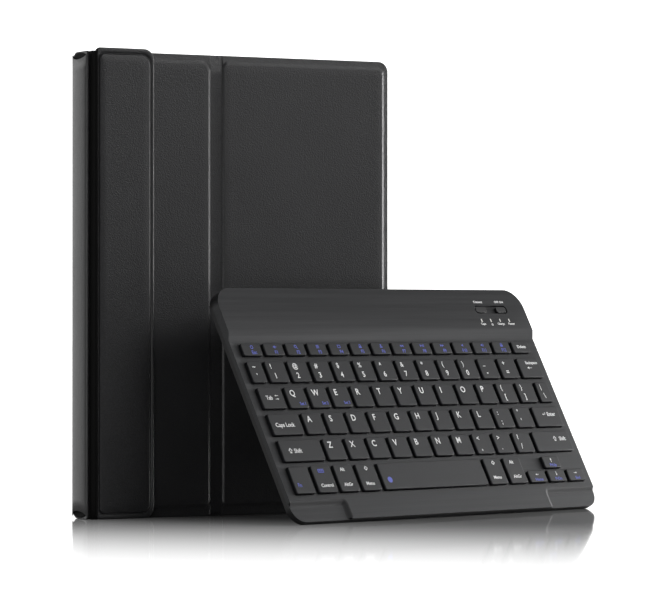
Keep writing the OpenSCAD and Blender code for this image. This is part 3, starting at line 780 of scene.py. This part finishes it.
def fold_webs():
    """The thin leather that joins the panels across their folds."""
    panel_low, panel_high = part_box("wide_panel_leather")
    low, high = panel_low.z + 0.1 * MM, panel_high.z - 0.1 * MM
    face = panel_low.y + BOSS
    x = FOLD.x
    groove = curve([(x - 4.2 * MM, face + 0.5 * MM), (x - 3.4 * MM, face + 0.47 * MM),
                    (x - 1.6 * MM, face + 0.55 * MM), (x, face + 0.6 * MM),
                    (x + 1.6 * MM, face + 0.55 * MM), (x + 3.4 * MM, face + 0.47 * MM),
                    (x + 4.2 * MM, face + 0.5 * MM)])
    web = strip("leg_fold_web", groove, 0.7 * MM, low, high)
    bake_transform(web)
    finish_piece(web, None, ["black_leather"])

    leg_low, leg_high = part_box("leg_leather")
    flap_low, flap_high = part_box("flap_leather")
    edge = leg_low.x
    roll = curve([(edge + 1.2 * MM, leg_high.y - 0.9 * MM),
                  (edge + 0.2 * MM, leg_high.y - 1.2 * MM),
                  (edge - 0.1 * MM, leg_low.y + 0.8 * MM),
                  (edge + 0.3 * MM, flap_high.y - 0.2 * MM),
                  (edge + 1.2 * MM, flap_high.y - 0.6 * MM),
                  (flap_low.x + 1.4 * MM, flap_high.y - 0.7 * MM)])
    web = strip("flap_fold_web", roll, 0.5 * MM, low, high)
    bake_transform(web)
    # The roll between leg and flap gets the near-black crease leather: painted shade.
    finish_piece(web, None, ["painted_shade_leather"])

    spine_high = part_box("spine_leather")[1]
    cover_low, cover_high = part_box("cover_leather")
    plate_x = spine_high.x - 0.5 * MM
    turn = curve([(plate_x, spine_high.y - 2.2 * MM),
                  (plate_x - 0.1 * MM, spine_high.y - 0.4 * MM),
                  (plate_x + 0.5 * MM, cover_low.y + 0.2 * MM),
                  (plate_x + 2.0 * MM, cover_high.y - 0.9 * MM),
                  (cover_low.x + 0.6 * MM, cover_high.y - 1.0 * MM),
                  (cover_low.x + 2.2 * MM, cover_high.y - 1.0 * MM)])
    trims = [2.4 * MM + 0.6 * MM * math.cos(2 * math.pi * i / (len(turn) - 1))
             for i in range(len(turn))]
    web = strip("cover_fold_web", turn, 0.8 * MM, low, high, trims=trims)
    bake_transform(web)
    finish_piece(web, None, ["black_leather"])

    sheet_low, sheet_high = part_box("wide_panel_lining")
    tuck = curve([(sheet_low.x + 2.2 * MM, sheet_high.y - 0.2 * MM),
                  (sheet_low.x + 0.4 * MM, sheet_high.y - 0.2 * MM),
                  (spine_high.x + 0.35 * MM, sheet_high.y + 0.1 * MM),
                  (spine_high.x + 0.1 * MM, sheet_high.y + 1.6 * MM),
                  (spine_high.x + 0.1 * MM, sheet_high.y + 4.0 * MM)])
    web = strip("spine_fold_web", tuck, 0.3 * MM, low, high)
    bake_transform(web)
    # The tuck gets the near-black crease leather: painted shade.
    finish_piece(web, None, ["painted_shade_leather"])


def lining_sheet(name, body, low, high, back, thick, radii, replaced=()):
    """A napped sheet with soft edges, glued to the inside of a panel."""
    profile = edge_round(0.14 * MM, 0.0, thick, 2) + [(0.6 * MM, thick)]
    rings = outline_rings(low, high, radii, profile)
    piece = loft(name, rings, lambda x, z, depth: Vector((x, back + depth, z)))
    finish_piece(piece, body, ["napped_lining"], replaced)


def linings():
    """The napped sheets inside the folio, and the base sheet that carries the strip."""
    for node, body, corner in (("leg_lining", "stand_leg", 0.6 * MM),
                               ("flap_lining", "closure_flap", CORNER - 1 * MM),
                               ("cover_lining", "far_cover", CORNER - 1 * MM)):
        low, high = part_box(node)
        lining_sheet(node + "_sheet", body, (low.x, low.z), (high.x, high.z), low.y,
                     high.y - low.y, (1 * MM, corner, corner, 1 * MM), [node])
    low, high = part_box("spine_lining")
    radii = (0.6 * MM,) * 4
    profile = edge_round(0.14 * MM, 0.0, high.x - low.x, 2) + [(0.6 * MM, high.x - low.x)]
    rings = outline_rings((low.y, low.z), (high.y, high.z), radii, profile)
    piece = loft("spine_lining_sheet", rings, lambda y, z, depth: Vector((low.x + depth, y, z)))
    finish_piece(piece, "spine_strip", ["napped_lining"], ["spine_lining"])
    low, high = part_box("wide_panel_lining")
    split = FOLD.x + 0.3 * MM
    corner = CORNER - 1 * MM
    lining_sheet("wide_lining_sheet", "back_panel", (split, low.z), (high.x, high.z), low.y,
                 high.y - low.y, (0.5 * MM, corner, corner, 0.5 * MM), ["wide_panel_lining"])
    lining_sheet("base_sheet", "back_panel", (low.x, low.z), (split + 1 * MM, high.z),
                 high.y - 0.4 * MM, 0.4 * MM, (1 * MM, 0.5 * MM, 0.5 * MM, 1 * MM))


wide_panel()
leg_panel()
flap()
far_cover()
spine()
fold_webs()
linings()
softened("tablet_tray", "tray_shell", 0.35 * MM, "tray_plastic", "back_panel")


# ---------------------------------------------------------------- keyboard case

for cad_node, piece_name, edge, cad_finish, cad_body in (
        ("keyboard_top", "deck_shell", 0.3, "brushed_deck", "keyboard"),
        ("keyboard_base", "base_shell", 0.4, "case_plastic", "keyboard"),
        ("rubber_feet", "foot_pads", 0.25, "foot_rubber", "keyboard"),
        ("power_switch", "power_slider_knob", 0.25, "control_plastic", "power_slider"),
        ("connect_button", "connect_button_cap", 0.25, "control_plastic", "connect_key"),
        ("indicator_windows", "lamp_windows", 0.06, "lamp_plastic", "keyboard"),
        ("charging_port", "port_shell", 0.08, "brushed_steel", "keyboard"),
):
    softened(cad_node, piece_name, edge * MM, cad_finish, cad_body)

# The deck's thickness at a corner rest, and the rest's depth, length, reach and radius, in
# millimetres.
DECK_T, REST_DEPTH, REST_L, REST_W, REST_R = 5.0, 1.5, 43.0, 12.0, 3.5
REST_SOFT = 3.4


def rest_slope(name, mirror):
    """The soft slope round a corner rest, from the deck down to the rest's floor."""
    top_low, top_high = keyboard_span(corners("keyboard_top"))
    width = (top_high[0] - top_low[0]) / MM
    level, depth, length, reach, radius = DECK_T, REST_DEPTH, REST_L, REST_W, REST_R
    path = [(0.4, reach, 0, -1), (length - radius, reach, 0, -1)]
    for step in range(1, 9):
        a = math.pi / 2 * (1 - step / 9)
        path.append((length - radius + radius * math.cos(a), reach - radius + radius * math.sin(a),
                     -math.cos(a), -math.sin(a)))
    path += [(length, reach - radius, -1, 0), (length, 0.7, -1, 0)]
    profile = []
    for step in range(9):
        t = step / 8
        drop = depth * (0.5 - 0.5 * math.cos(math.pi * t))
        profile.append((0.02 + REST_SOFT * t, level - 0.03 - drop * 0.97))
    profile += [(0.02 + REST_SOFT, level - depth - 0.02), (0.02, level - depth - 0.02)]
    rings = []
    for u, v, du, dv in path:
        ring = [on_keyboard((width - u - du * w if mirror else u + du * w) * MM,
                            (v + dv * w) * MM, n * MM) for w, n in profile]
        rings.append(ring)
    count = len(profile)
    faces = [tuple(range(count)), tuple((len(rings) - 1) * count + i for i in range(count))]
    faces += tube_faces(len(rings), count)
    piece = new_piece(name, [v for ring in rings for v in ring], faces)
    piece.data.set_sharp_from_angle(angle=SHARP_ANGLE)
    # The slope takes the darker rest metal: painted shade.
    finish_piece(piece, "keyboard", ["rest_metal_painted_shade"])


rest_slope("left_rest_slope", False)
rest_slope("right_rest_slope", True)

for cad_node, cad_finish in {
    "wide_panel_board": "pasteboard", "leg_board": "pasteboard", "flap_board": "pasteboard",
    "spine_board": "pasteboard", "cover_board": "pasteboard",
    "stand_magnets": "plated_magnet", "leg_magnets": "plated_magnet",
    "flap_magnets": "plated_magnet", "cover_magnets": "plated_magnet",
    "keyboard_magnets": "plated_magnet", "case_screws": "brushed_steel",
    "support_plate": "brushed_steel", "membrane_sheet": "membrane_film",
    "rubber_domes": "dome_rubber", "scissor_frames": "clip_plastic",
    "circuit_board": "circuit_lacquer", "battery_pack": "battery_foil",
    "switch_body": "case_plastic",
}.items():
    paint(NODES[cad_node], cad_finish)


# ---------------------------------------------------------------- keys and their print

def letters(text, size, colour, u, v, align="LEFT", stretch=0.95):
    """A word, as a size in millimetres and a place from the cap's back left corner."""
    return {"text": text, "size": size, "colour": colour, "u": u, "v": v, "align": align,
            "stretch": stretch}


def single(text):
    return [letters(text, 3.9, "white", 2.9, 1.5)]


def double(upper, lower):
    return [letters(upper, 3.1, "white", 3.0, 1.3), letters(lower, 3.5, "white", 3.9, 6.8)]


def small_word(text, u=2.9, v=10.6):
    return letters(text, 2.1, "white", u, v, stretch=1.05)


def function_key(number):
    return [letters("F%d" % number, 2.2, "blue", 8.3, 4.3, "CENTER")]


def arrow_word(text):
    return [letters(text, 1.9, "blue", 7.4, 4.6, "CENTER", 1.05)]


UPPER_ROW = [single(c) for c in "QWERTYUIOP"] + [double("{", "["), double("}", "]")]
UPPER_ROW += [double("|", "\\")]
for position, mark in enumerate(("Set 1", "Set 2", "Set 3")):
    UPPER_ROW[position] = UPPER_ROW[position] + [letters(mark, 1.9, "blue", 12.6, 9.0, "RIGHT")]
MENU = [small_word("Menu", 3.4)]
ALT = [letters("Alt", 2.2, "white", 4.4, 1.6), small_word("AltGr", 3.4)]

LEGENDS = {
    "key_escape": [[letters("Esc", 2.3, "blue", 8.3, 4.1, "CENTER")]],
    "keys_function": [function_key(i + 1) for i in range(12)],
    "key_delete": [[letters("Delete", 2.0, "white", 7.6, 2.4, "CENTER", 1.05)]],
    "keys_number": [double(a, b) for a, b in zip("~!@#$%^&*()_+", "`1234567890-=")],
    "key_backspace": [[letters("Backspace", 2.0, "white", 16.4, 2.0, "RIGHT")]],
    "key_tab": [[letters("Tab", 2.6, "white", 4.0, 4.7)]],
    "keys_upper": UPPER_ROW,
    "key_caps_lock": [[letters("Caps Lock", 2.7, "white", 3.4, 5.2)]],
    "keys_home": [single(c) for c in "ASDFGHJKL"] + [double(":", ";"), double('"', "'")],
    "key_enter": [[letters("Enter", 2.6, "white", 18.0, 3.5, "RIGHT")]],
    "key_shift_left": [[letters("Shift", 2.7, "white", 9.6, 5.0)]],
    "keys_lower": [single(c) for c in "ZXCVBNM"] + [double("<", ","), double(">", "."),
                                                     double("?", "/")],
    "key_shift_right": [[letters("Shift", 2.6, "white", 27.2, 3.5, "RIGHT")]],
    "keys_modifier_left": [
        [letters("Fn", 2.5, "blue", 2.6, 9.6)],
        [small_word("Control")],
        ALT,
        MENU,
    ],
    "key_space": [[]],
    "keys_modifier_right": [MENU, ALT],
    "key_arrow_left": [arrow_word("Home")],
    "key_arrow_up": [arrow_word("PgUp")],
    "key_arrow_down": [arrow_word("PgDn")],
    "key_arrow_right": [arrow_word("End")],
}


def polygon_ring(radius, hole=0.0, sides=20, centre=(0, 0)):
    """Triangles of a disc or a ring, as flat (x, y) triples."""
    shapes = []
    for i in range(sides):
        a, b = 2 * math.pi * i / sides, 2 * math.pi * (i + 1) / sides
        outer = [(centre[0] + radius * math.cos(t), centre[1] + radius * math.sin(t))
                 for t in (a, b)]
        inner = [(centre[0] + hole * math.cos(t), centre[1] + hole * math.sin(t))
                 for t in (b, a)]
        shapes.append(outer + inner if hole else outer + [centre])
    return shapes


def bar_shape(x, y, w, h):
    return [[(x - w / 2, y - h / 2), (x + w / 2, y - h / 2), (x + w / 2, y + h / 2),
             (x - w / 2, y + h / 2)]]


def bars(*sizes):
    """Several bars, each as x, y, width and height."""
    return [shape for size in sizes for shape in bar_shape(*size)]


def turned(points, x, y, turn):
    """Points turned by quarter turns and moved to x, y."""
    c, s = math.cos(math.radians(90 * turn)), math.sin(math.radians(90 * turn))
    return [(x + c * a - s * b, y + s * a + c * b) for a, b in points]


def pointer(x, y, size, turn):
    """A small triangle that points right before it is turned."""
    half = size / 2
    return [turned([(-half, -half), (half, 0), (-half, half)], x, y, turn)]


def arrow(x, y, length, turn):
    """A pointer on a thin shaft."""
    half, head = length / 2, length * 0.42
    neck = half - head
    shaft = turned([(-half, -0.14), (neck, -0.14), (neck, 0.14), (-half, 0.14)], x, y, turn)
    tip, = turned([(half - head / 2, 0)], x, y, turn)
    return [shaft] + pointer(*tip, head, turn)


def shift_mark(x, y, size):
    """A hollow arrow that points to the back of the keyboard."""
    outer = [(0, 1), (-0.85, 0.05), (-0.38, 0.05), (-0.38, -0.8), (0.38, -0.8), (0.38, 0.05),
             (0.85, 0.05)]
    inner = [(a * 0.55, b * 0.62) for a, b in outer]
    count = len(outer)
    return [[(x + size * p, y + size * q) for p, q in
             (outer[i], outer[(i + 1) % count], inner[(i + 1) % count], inner[i])]
            for i in range(count)]


# A small generic sign for each function key, about its own middle.
FUNCTION_SIGNS = (
    pointer(0, 0, 1.5, 2) + bars((1.1, 0, 1.0, 0.3)),
    polygon_ring(0.75, 0.45, centre=(-0.2, 0.2)) + arrow(0.7, -0.7, 1.1, -0.5),
    bars((0, 0.6, 1.7, 0.3), (0, 0, 1.7, 0.3), (0, -0.6, 1.7, 0.3)),
    bars((-0.8, 0, 0.3, 1.5), (0.8, 0, 0.3, 1.5), (0, 0.62, 1.6, 0.28), (0, -0.62, 1.6, 0.28)),
    bars((0, -0.5, 1.8, 0.7)) + polygon_ring(0.6, 0.35, centre=(0, 0.35)),
    polygon_ring(0.42, centre=(0, 0.45)) + bars((0, -0.5, 1.5, 0.6)),
    pointer(-0.55, 0, 1.2, 2) + pointer(0.6, 0, 1.2, 2),
    pointer(-0.6, 0, 1.3, 0) + bars((0.5, 0, 0.3, 1.3), (1.1, 0, 0.3, 1.3)),
    pointer(-0.6, 0, 1.2, 0) + pointer(0.55, 0, 1.2, 0),
    pointer(0, 0, 1.3, 2),
    pointer(-0.3, 0, 1.3, 2) + bars((0.9, 0, 0.3, 1.3)),
    bars((0, -0.35, 1.6, 1.0)) + polygon_ring(0.55, 0.33, centre=(0, 0.4)),
)
SIGN_SCALE = 1.25
INK_HALF = 0.03 * MM        # half the thickness of the print
LETTER_SCALE = 1.32         # from a letter's height to its font size


def printed_shapes(name, shapes, level, body, ink):
    """Flat printed shapes: each is a polygon in keyboard millimetres."""
    vertices, faces = [], []
    for shape in shapes:
        start = len(vertices)
        vertices += [on_keyboard(a * MM, b * MM, level) for a, b in shape]
        faces.append(tuple(range(start, start + len(shape))))
    return printed_mesh(name, vertices, faces, body, ink)


def printed_mesh(name, vertices, faces, body, ink):
    """A thin layer of ink with its own thickness."""
    thickness = KEY_UP * INK_HALF
    count = len(vertices)
    doubled = [v - thickness for v in vertices] + [v + thickness for v in vertices]
    solid = []
    for face in faces:
        points = [vertices[i] for i in face]
        facing = sum(((points[i] - points[0]).cross(points[i + 1] - points[0])
                      for i in range(1, len(points) - 1)), Vector()).dot(KEY_UP)
        if facing < 0:
            face = tuple(reversed(face))
        solid.append(tuple(i + count for i in face))
    edges = {}
    for face in solid:
        for a, b in zip(face, face[1:] + face[:1]):
            edges[(a, b)] = edges.get((a, b), 0) + 1
    for a, b in list(edges):
        if (b, a) not in edges:
            solid.append((b, a, a - count, b - count))
    for face in list(solid):
        if all(i >= count for i in face):
            solid.append(tuple(i - count for i in reversed(face)))
    piece = new_piece(name, doubled, solid, smooth=False)
    return finish_piece(piece, body, [ink])


def text_outline(text, size, align):
    """A word's flat mesh, in millimetres, from its top line."""
    data = bpy.data.curves.new("word", "FONT")
    data.body = text
    data.size = size * LETTER_SCALE
    data.resolution_u = 3
    data.align_x = align
    data.space_character = 0.98
    data.offset = 0.012 * size + 0.03
    holder = bpy.data.objects.new("word", data)
    bpy.context.scene.collection.objects.link(holder)
    bpy.context.view_layer.update()
    mesh = bpy.data.meshes.new_from_object(holder)
    points = [tuple(v.co) for v in mesh.vertices]
    faces = [tuple(p.vertices) for p in mesh.polygons]
    bpy.data.objects.remove(holder)
    bpy.data.curves.remove(data)
    bpy.data.meshes.remove(mesh)
    return points, faces


def word_mesh(entry, left, back, level, vertices, faces):
    """Adds one printed word to a key's print."""
    points, polygons = text_outline(entry["text"], entry["size"], entry["align"])
    start = len(vertices)
    for x, y, _ in points:
        vertices.append(on_keyboard(left + (entry["u"] + x * entry["stretch"]) * MM,
                                    back + (y - entry["v"] - entry["size"]) * MM, level))
    faces += [tuple(start + i for i in face) for face in polygons]


def cap_rings(low, high):
    """A key cap: straight sides, a rounded shoulder and a flat top."""
    bottom, top = low[2], high[2]
    profile = [(0.3 * MM, bottom), (0.0, bottom + 0.3 * MM), (0.0, top - 0.55 * MM),
               (0.03 * MM, top - 0.34 * MM), (0.12 * MM, top - 0.15 * MM),
               (0.27 * MM, top - 0.04 * MM), (0.45 * MM, top), (0.8 * MM, top)]
    radii = (1.1 * MM,) * 4
    return [(round_rectangle(low[:2], high[:2], radii, inset, 5), n) for inset, n in profile]


def build_keys(node):
    """The caps of one CAD node with their print. A cap's body has the node's name."""
    spans = [keyboard_span(group) for group in islands(node)]
    spans.sort(key=lambda span: span[0][0])
    pieces = []
    white, blue = ([], []), ([], [])
    for index, (low, high) in enumerate(spans):
        pieces.append(loft("cap", cap_rings(low, high), on_keyboard))
        level = float(high[2])
        left, back = float(low[0]), float(high[1])
        for entry in LEGENDS[node][index]:
            target = white if entry["colour"] == "white" else blue
            word_mesh(entry, left, back, level, *target)
    finish_piece(join(pieces, node + "_caps"), node, ["key_top"], [node])
    for ink, (vertices, faces) in (("white_ink", white), ("blue_ink", blue)):
        if faces:
            printed_mesh(node + "_" + ink, vertices, faces, node, ink)
    return spans


def join(pieces, name):
    """One smooth mesh made of several, under a new name."""
    work = bmesh.new()
    for piece in pieces:
        work.from_mesh(piece.data)
    first = pieces[0]
    work.to_mesh(first.data)
    work.free()
    first.name = first.data.name = name
    for piece in pieces[1:]:
        mesh = piece.data
        bpy.data.objects.remove(piece)
        bpy.data.meshes.remove(mesh)
    first.data.polygons.foreach_set("use_smooth", [True] * len(first.data.polygons))
    return first


SPANS = {node: build_keys(node) for node in LEGENDS}


def cap_place(node, index=0):
    """A cap's left edge, back edge and top level, in millimetres and metres."""
    low, high = SPANS[node][index]
    return low[0] / MM, high[1] / MM, float(high[2])


def print_sign(name, node, shapes, ink="white_ink", index=0):
    """Prints a sign whose shapes are placed from a cap's back left corner."""
    left, back, level = cap_place(node, index)
    placed = [[(left + a, back + b) for a, b in shape] for shape in shapes]
    printed_shapes(name, placed, level, node, ink)


def key_signs():
    """The signs on the keys that aren't letters."""
    print_sign("space_sign", "key_space", polygon_ring(1.75, 0, 28, (5.8, -10.2)), "blue_ink")
    print_sign("escape_sign", "key_escape", polygon_ring(1.1, 0.7, 20, (7.6, -2.3)), "blue_ink")
    shapes = []
    for index, signs in enumerate(FUNCTION_SIGNS):
        left, back, level = cap_place("keys_function", index)
        shapes += [[(left + 7.6 + SIGN_SCALE * a, back - 2.3 + SIGN_SCALE * b)
                    for a, b in sign] for sign in signs]
    printed_shapes("function_signs", shapes, level, "keys_function", "blue_ink")
    for node, turn in (("key_arrow_left", 2), ("key_arrow_up", 1), ("key_arrow_down", 3),
                       ("key_arrow_right", 0)):
        print_sign(node + "_sign", node, arrow(6.9, -2.6, 2.6, turn))
    for node, place in (("key_shift_left", (7.0, -6.4)), ("key_shift_right", (18.0, -4.9))):
        print_sign(node + "_sign", node, shift_mark(*place, 1.75))
    print_sign("tab_sign", "key_tab", arrow(12.2, -5.0, 2.6, 2) + arrow(12.2, -7.0, 2.6, 0))
    print_sign("enter_sign", "key_enter",
               arrow(8.2, -5.0, 2.6, 2) + bars((9.4, -4.4, 0.28, 1.4)))
    print_sign("backspace_sign", "key_backspace", arrow(8.4, -6.4, 4.2, 2))
    print_sign("control_sign", "keys_modifier_left",
               bars((6.5, -2.3, 4.2, 0.4), (6.5, -4.1, 4.2, 0.4), (6.5, -3.2, 4.2, 0.4),
                    (4.5, -3.2, 0.4, 2), (8.5, -3.2, 0.4, 2), (5.8, -3.2, 0.35, 2),
                    (7.2, -3.2, 0.35, 2)), "blue_ink", 1)
    for node, index in (("keys_modifier_left", 3), ("keys_modifier_right", 0)):
        print_sign(node + "_diamond", node, polygon_ring(1.4, 0.8, 4, (7.4, -2.8)),
                   index=index)


def bar_print():
    """White signs beside the switch slot and under the lamps."""
    lamp_low, lamp_high = keyboard_span(corners("indicator_windows"))
    knob_low, knob_high = keyboard_span(corners("power_switch"))
    button_low, button_high = keyboard_span(corners("connect_button"))
    level = float(lamp_high[2])
    first = (lamp_low[0] + 0.45 * MM) / MM
    step = ((lamp_high[0] - lamp_low[0]) / MM - 0.9) / 3
    vertices, faces = [], []

    def label(text, size, u, v):
        word_mesh(letters(text, size, "white", u, 0, "CENTER", 1.1), 0.0, v * MM, level,
                  vertices, faces)

    sign_v = lamp_low[1] / MM - 0.4
    label("Caps", 1.45, first + 0.4, sign_v)
    label("Charge", 1.45, first + 2 * step - 0.2, sign_v)
    label("Power", 1.45, first + 3 * step + 0.9, sign_v)
    top_v = knob_high[1] / MM + 3.9
    label("Connect", 1.5, (button_low[0] + button_high[0]) / 2 / MM - 0.4, top_v)
    label("OFF ON", 1.5, (knob_low[0] + knob_high[0]) / 2 / MM + 0.4, top_v)
    printed_mesh("bar_words", vertices, faces, "keyboard", "white_ink")
    printed_shapes("bar_sign", polygon_ring(0.7, 0.35, 18, (first + step, sign_v - 1.3)), level,
                   "keyboard", "white_ink")


key_signs()
bar_print()
